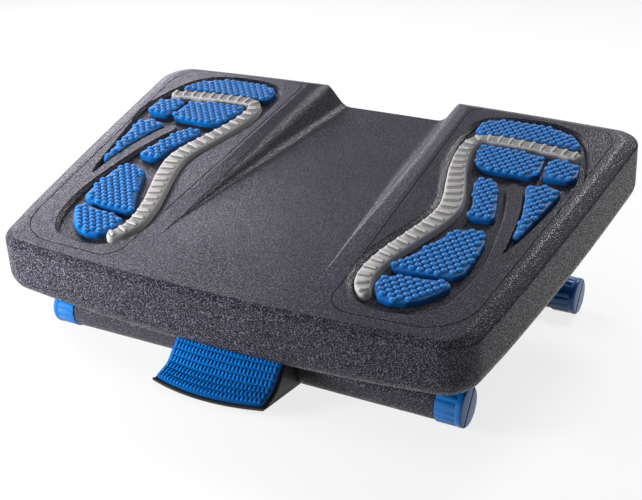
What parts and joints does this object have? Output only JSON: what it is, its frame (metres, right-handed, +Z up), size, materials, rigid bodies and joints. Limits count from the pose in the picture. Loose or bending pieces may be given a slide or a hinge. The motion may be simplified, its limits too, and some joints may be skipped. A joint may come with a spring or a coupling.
{
  "type": "tilting under-desk footrest",
  "caption": "Under-desk footrest with a tilting massage deck on an axle, held by a friction brake that a sprung foot pedal releases, standing on a base with end caps.",
  "frame": {"origin": "on the floor, under the middle of the footrest's box", "axes": "+X to the user's right, +Y away from the user towards the toes, +Z up"},
  "size_m": [0.4766, 0.3352, 0.1689],
  "materials": {
    "textured_black": "fine sparkle texture, satin",
    "plain_black": "satin",
    "pad_blue": "soft, satin, small raised pips",
    "cap_blue": "satin gloss",
    "strip_grey": "soft, matte",
    "bright_steel": "zinc plated",
    "painted_steel": "dark, satin",
    "acetal_white": "smooth",
    "lining_rubber": "matte"
  },
  "bodies": {
    "base": {"base_frame": "plain_black", "bottom_cover": "plain_black", "cover_screw_front_left": "bright_steel", "cover_screw_front_right": "bright_steel", "cover_screw_rear_left": "bright_steel", "cover_screw_rear_right": "bright_steel", "axle_bush_left": "acetal_white", "end_cap_front_left": "cap_blue", "end_cap_rear_left": "cap_blue", "axle_bush_right": "acetal_white", "end_cap_front_right": "cap_blue", "end_cap_rear_right": "cap_blue", "pedal_pin": "bright_steel", "brake_pin": "bright_steel", "brake_spring": "bright_steel"},
    "deck": {"deck_shell": "textured_black", "toe_pad_left": "pad_blue", "ball_pad_left": "pad_blue", "outer_ball_pad_left": "pad_blue", "arch_pad_left": "pad_blue", "outer_edge_pad_left": "pad_blue", "heel_upper_pad_left": "pad_blue", "heel_lower_pad_left": "pad_blue", "ribbed_strip_left": "strip_grey", "pivot_bracket_left": "painted_steel", "bracket_screw_left_front": "bright_steel", "bracket_screw_left_rear": "bright_steel", "axle_clip_left": "bright_steel", "toe_pad_right": "pad_blue", "ball_pad_right": "pad_blue", "outer_ball_pad_right": "pad_blue", "arch_pad_right": "pad_blue", "outer_edge_pad_right": "pad_blue", "heel_upper_pad_right": "pad_blue", "heel_lower_pad_right": "pad_blue", "ribbed_strip_right": "strip_grey", "pivot_bracket_right": "painted_steel", "bracket_screw_right_front": "bright_steel", "bracket_screw_right_rear": "bright_steel", "axle_clip_right": "bright_steel", "brake_sector": "painted_steel", "sector_screw_left": "bright_steel", "sector_screw_right": "bright_steel", "axle": "bright_steel"},
    "pedal": {"pedal_lever": "plain_black", "pedal_pad": "pad_blue"},
    "brake": {"brake_arm": "painted_steel", "brake_lining": "lining_rubber"}
  },
  "joints": [
    {"name": "deck_tilt", "type": "hinge", "parent": "base", "child": "deck", "pos_m": [0, 0.00642, 0.0865], "axis": [1, 0, 0], "range_deg": [-22, 5]},
    {"name": "pedal_press", "type": "hinge", "parent": "base", "child": "pedal", "pos_m": [0, -0.08158, 0.0135], "axis": [1, 0, 0], "range_deg": [0, 3.5], "stiffness_Nm_per_rad": 6, "springref_deg": -5.73},
    {"name": "brake_release", "type": "hinge", "parent": "base", "child": "brake", "pos_m": [0, -0.02358, 0.022], "axis": [1, 0, 0], "range_deg": [-3.4, 0], "deforming": ["brake_spring"]}
  ],
  "couplings": [
    {"joint": "brake_release", "follows": "pedal_press", "ratio": -0.935}
  ]
}
